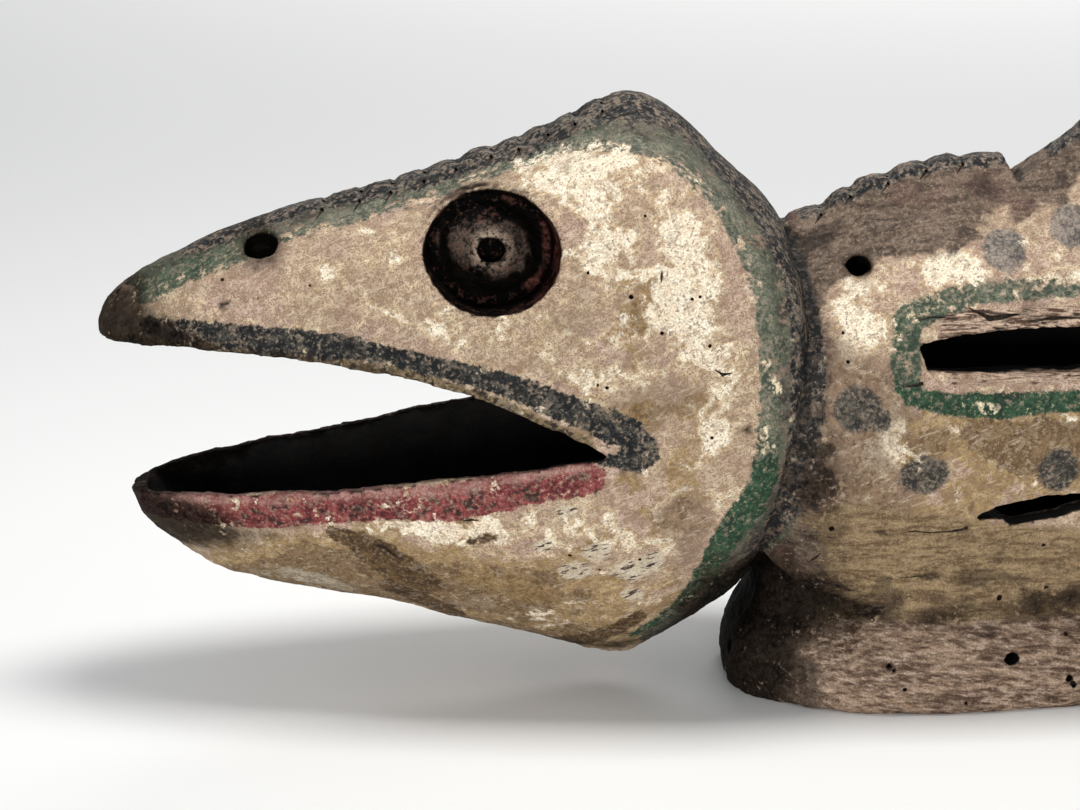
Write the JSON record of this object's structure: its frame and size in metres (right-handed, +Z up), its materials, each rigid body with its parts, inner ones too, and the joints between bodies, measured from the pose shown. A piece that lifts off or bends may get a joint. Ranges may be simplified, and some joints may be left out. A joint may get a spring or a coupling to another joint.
{
  "type": "fish marionette",
  "caption": "Carved and painted wooden fish marionette: open-mouthed head, hollow body open underneath with side slots, standing on its flared rim.",
  "frame": {"origin": "on the ground that the rim stands on, under the middle of the fish's length and width", "axes": "+X towards the tail, with the nose at -X, +Z up; the flank shown in the picture faces -Y"},
  "size_m": [0.7974, 0.155, 0.278],
  "materials": {
    "painted_wood": "old carved wood with worn cream, black, green and red paint, matt, chipped and pitted"
  },
  "bodies": {
    "root": {"fish": "painted_wood"}
  },
  "joints": []
}
